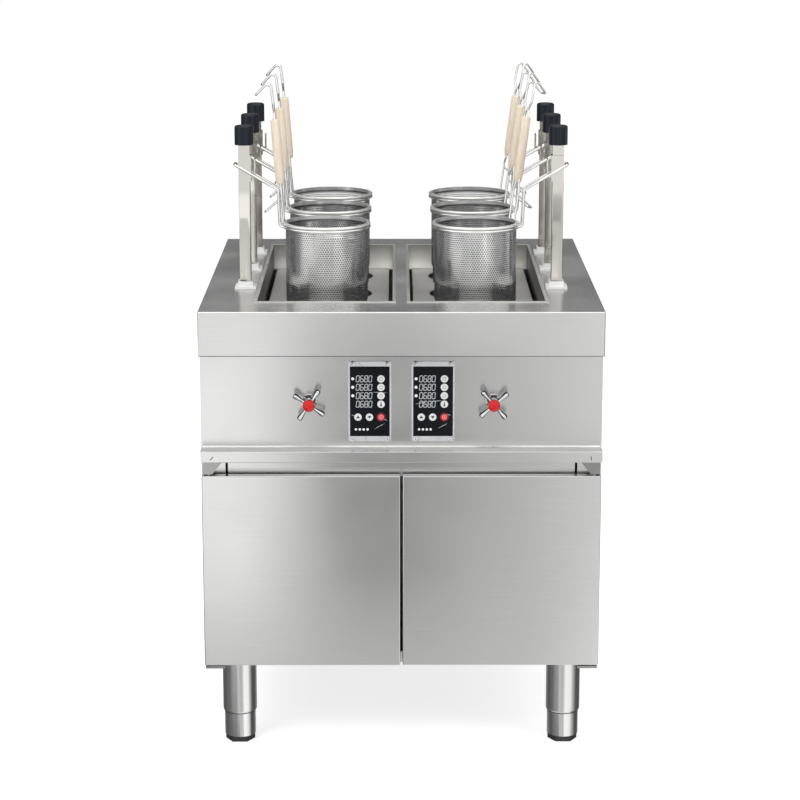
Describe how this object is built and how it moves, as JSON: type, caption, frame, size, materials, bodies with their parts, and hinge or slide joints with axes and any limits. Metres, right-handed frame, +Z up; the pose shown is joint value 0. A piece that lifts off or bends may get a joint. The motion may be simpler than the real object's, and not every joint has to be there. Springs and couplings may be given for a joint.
{
  "type": "pasta cooker",
  "caption": "Stainless floor-standing pasta cooker: twin water tanks, perforated baskets on motor-driven lifts, control panels, water taps and a cupboard on legs.",
  "frame": {"origin": "on the floor, under the middle of the deck", "axes": "+Z up, the front with the doors and controls faces -Y, +X to the right seen from the front"},
  "size_m": [0.75, 0.85, 1.2437],
  "materials": {
    "satin_steel": "satin brushed stainless sheet",
    "bright_steel": "fine ground stainless",
    "wire_steel": "polished stainless wire and perforated sheet",
    "dark_steel": "dark satin metal",
    "chrome": "polished chrome",
    "white_plastic": "white sliding plastic",
    "black_plastic": "moulded black plastic",
    "black_film": "glossy membrane film",
    "key_white": "printed key under film",
    "red_plastic": "glossy red plastic",
    "beech": "pale turned beech"
  },
  "bodies": {
    "cabinet": {"deck_top": "satin_steel", "tanks": "bright_steel", "guide_plates": "satin_steel", "heaters": "dark_steel", "drain_pipes": "bright_steel", "side_panels": "satin_steel", "back_panel": "satin_steel", "base_panel": "satin_steel", "control_fascia": "satin_steel", "ledge_rail": "satin_steel", "front_frame": "satin_steel", "hinge_brackets": "dark_steel", "column_collars": "white_plastic", "leg_sleeves": "satin_steel", "panel_bezels": "bright_steel", "panel_keypads": "black_film", "panel_keys": "key_white", "tap_bodies": "chrome", "lift_actuators": "dark_steel", "cable_gland": "black_plastic"},
    "door_left": {"door_left": "satin_steel"},
    "tap_left": {"tap_handle_left": "chrome", "tap_button_left": "red_plastic"},
    "door_right": {"door_right": "satin_steel"},
    "tap_right": {"tap_handle_right": "chrome", "tap_button_right": "red_plastic"},
    "foot_left_front": {"foot_left_front": "dark_steel"},
    "foot_right_front": {"foot_right_front": "dark_steel"},
    "foot_left_rear": {"foot_left_rear": "dark_steel"},
    "foot_right_rear": {"foot_right_rear": "dark_steel"},
    "lift_left_front": {"lift_column_left_front": "bright_steel", "column_cap_left_front": "black_plastic", "lift_arm_left_front": "wire_steel"},
    "basket_left_front": {"basket_left_front": "wire_steel", "basket_grip_left_front": "beech"},
    "lift_left_middle": {"lift_column_left_middle": "bright_steel", "column_cap_left_middle": "black_plastic", "lift_arm_left_middle": "wire_steel"},
    "basket_left_middle": {"basket_left_middle": "wire_steel", "basket_grip_left_middle": "beech"},
    "lift_left_rear": {"lift_column_left_rear": "bright_steel", "column_cap_left_rear": "black_plastic", "lift_arm_left_rear": "wire_steel"},
    "basket_left_rear": {"basket_left_rear": "wire_steel", "basket_grip_left_rear": "beech"},
    "lift_right_front": {"lift_column_right_front": "bright_steel", "column_cap_right_front": "black_plastic", "lift_arm_right_front": "wire_steel"},
    "basket_right_front": {"basket_right_front": "wire_steel", "basket_grip_right_front": "beech"},
    "lift_right_middle": {"lift_column_right_middle": "bright_steel", "column_cap_right_middle": "black_plastic", "lift_arm_right_middle": "wire_steel"},
    "basket_right_middle": {"basket_right_middle": "wire_steel", "basket_grip_right_middle": "beech"},
    "lift_right_rear": {"lift_column_right_rear": "bright_steel", "column_cap_right_rear": "black_plastic", "lift_arm_right_rear": "wire_steel"},
    "basket_right_rear": {"basket_right_rear": "wire_steel", "basket_grip_right_rear": "beech"}
  },
  "joints": [
    {"name": "door_left_swing", "type": "hinge", "parent": "cabinet", "child": "door_left", "pos_m": [-0.36, -0.412, 0.3525], "axis": [0, 0, -1], "range_deg": [0, 110]},
    {"name": "tap_left_turn", "type": "hinge", "parent": "cabinet", "child": "tap_left", "pos_m": [-0.172, -0.41, 0.6717], "axis": [0, 1, 0], "range_deg": [0, 540]},
    {"name": "door_right_swing", "type": "hinge", "parent": "cabinet", "child": "door_right", "pos_m": [0.36, -0.412, 0.3525], "axis": [0, 0, 1], "range_deg": [0, 110]},
    {"name": "tap_right_turn", "type": "hinge", "parent": "cabinet", "child": "tap_right", "pos_m": [0.172, -0.41, 0.6717], "axis": [0, 1, 0], "range_deg": [0, 540]},
    {"name": "foot_left_front_level", "type": "slide", "parent": "cabinet", "child": "foot_left_front", "axis": [0, 0, 1], "range_m": [-0.03, 0]},
    {"name": "foot_right_front_level", "type": "slide", "parent": "cabinet", "child": "foot_right_front", "axis": [0, 0, 1], "range_m": [-0.03, 0]},
    {"name": "foot_left_rear_level", "type": "slide", "parent": "cabinet", "child": "foot_left_rear", "axis": [0, 0, 1], "range_m": [-0.03, 0]},
    {"name": "foot_right_rear_level", "type": "slide", "parent": "cabinet", "child": "foot_right_rear", "axis": [0, 0, 1], "range_m": [-0.03, 0]},
    {"name": "lift_left_front_travel", "type": "slide", "parent": "cabinet", "child": "lift_left_front", "axis": [0, 0, 1], "range_m": [-0.155, 0]},
    {"name": "basket_left_front_lift_off", "type": "slide", "parent": "lift_left_front", "child": "basket_left_front", "axis": [0, 0, 1], "range_m": [0, 0.18]},
    {"name": "lift_left_middle_travel", "type": "slide", "parent": "cabinet", "child": "lift_left_middle", "axis": [0, 0, 1], "range_m": [-0.155, 0]},
    {"name": "basket_left_middle_lift_off", "type": "slide", "parent": "lift_left_middle", "child": "basket_left_middle", "axis": [0, 0, 1], "range_m": [0, 0.18]},
    {"name": "lift_left_rear_travel", "type": "slide", "parent": "cabinet", "child": "lift_left_rear", "axis": [0, 0, 1], "range_m": [-0.155, 0]},
    {"name": "basket_left_rear_lift_off", "type": "slide", "parent": "lift_left_rear", "child": "basket_left_rear", "axis": [0, 0, 1], "range_m": [0, 0.18]},
    {"name": "lift_right_front_travel", "type": "slide", "parent": "cabinet", "child": "lift_right_front", "axis": [0, 0, 1], "range_m": [-0.155, 0]},
    {"name": "basket_right_front_lift_off", "type": "slide", "parent": "lift_right_front", "child": "basket_right_front", "axis": [0, 0, 1], "range_m": [0, 0.18]},
    {"name": "lift_right_middle_travel", "type": "slide", "parent": "cabinet", "child": "lift_right_middle", "axis": [0, 0, 1], "range_m": [-0.155, 0]},
    {"name": "basket_right_middle_lift_off", "type": "slide", "parent": "lift_right_middle", "child": "basket_right_middle", "axis": [0, 0, 1], "range_m": [0, 0.18]},
    {"name": "lift_right_rear_travel", "type": "slide", "parent": "cabinet", "child": "lift_right_rear", "axis": [0, 0, 1], "range_m": [-0.155, 0]},
    {"name": "basket_right_rear_lift_off", "type": "slide", "parent": "lift_right_rear", "child": "basket_right_rear", "axis": [0, 0, 1], "range_m": [0, 0.18]}
  ]
}
